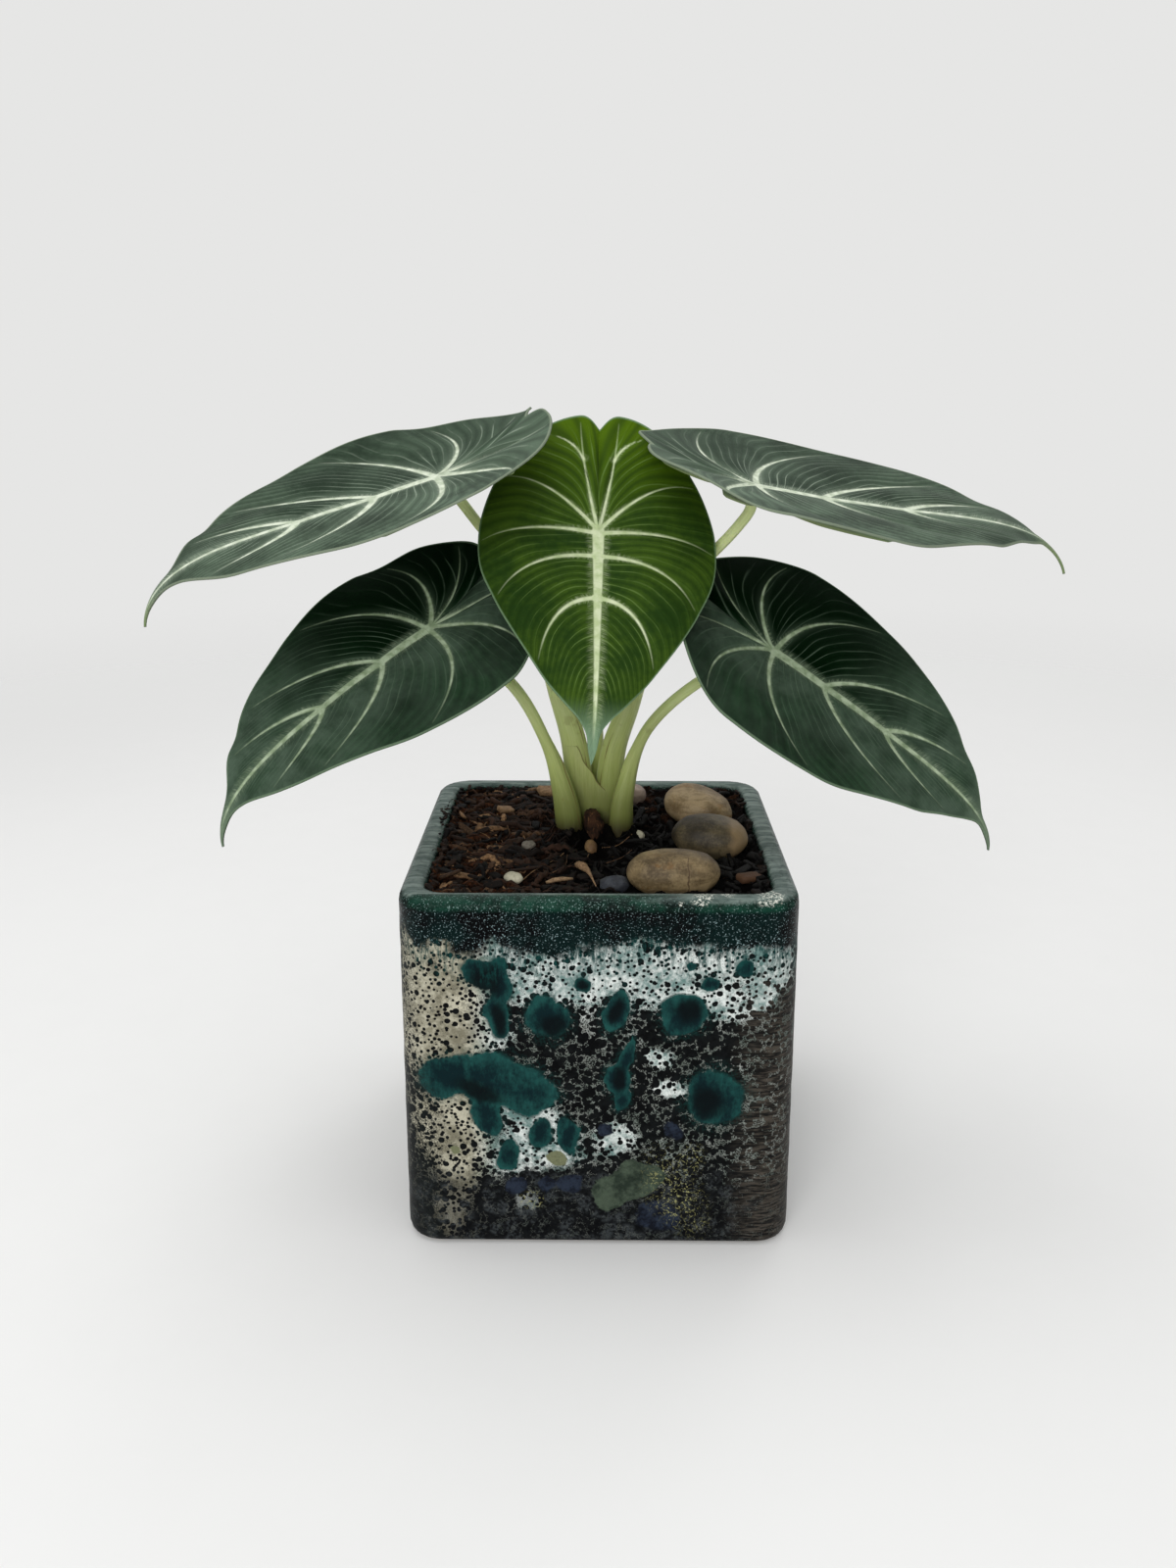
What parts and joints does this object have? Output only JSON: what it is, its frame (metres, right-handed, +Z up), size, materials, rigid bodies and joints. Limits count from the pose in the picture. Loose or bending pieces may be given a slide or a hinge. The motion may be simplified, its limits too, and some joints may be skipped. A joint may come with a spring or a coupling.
{
  "type": "potted black velvet alocasia",
  "caption": "Young black velvet alocasia in a glazed ceramic cube pot: heart-shaped velvety leaves with pale veins on curved stalks, over dark soil with river pebbles.",
  "frame": {"origin": "middle of the pot's flat underside, on the surface that it stands on", "axes": "+Z up, -Y towards the viewer in front of the pot, +X to the viewer's right"},
  "size_m": [0.2388, 0.102, 0.2118],
  "materials": {
    "pot_glaze": "glossy reactive glaze, blue-green and near black over cream, with pools, drips and pinholes",
    "soil": "damp potting mix of coir fibre, bark chips and peat",
    "rhizome": "dry dark brown root stock with tan streaks",
    "cormlet": "tan papery offset corm",
    "petiole": "smooth fleshy pale yellow-green stalk with thin sheath edges",
    "blade_green": "soft olive green velvet leaf with pale feathered veins",
    "blade_dark": "near black green velvet leaf with pale veins and a silvery sheen",
    "blade_grey": "grey-green velvet leaf with pale veins, silvery at a glancing angle",
    "pebble_tan": "smooth tan river pebble",
    "pebble_grey": "smooth grey-brown river pebble with a tan end",
    "pebble_pink": "smooth pinkish grey pebble",
    "slate": "dark blue-grey angular stone chip",
    "perlite": "matt off-white porous grain"
  },
  "bodies": {
    "root": {"pot": "pot_glaze", "soil": "soil", "rhizome": "rhizome", "cormlet": "cormlet", "petiole_front": "petiole", "blade_front": "blade_green", "petiole_upper_left": "petiole", "blade_upper_left": "blade_grey", "petiole_lower_left": "petiole", "blade_lower_left": "blade_dark", "petiole_lower_right": "petiole", "blade_lower_right": "blade_dark", "petiole_upper_right": "petiole", "blade_upper_right": "blade_grey", "pebble_front": "pebble_tan", "pebble_middle": "pebble_grey", "pebble_back": "pebble_tan", "pebble_small": "pebble_pink", "slate_chip": "slate", "perlite_oval": "perlite", "perlite_round": "perlite", "perlite_grey": "perlite"}
  },
  "joints": []
}
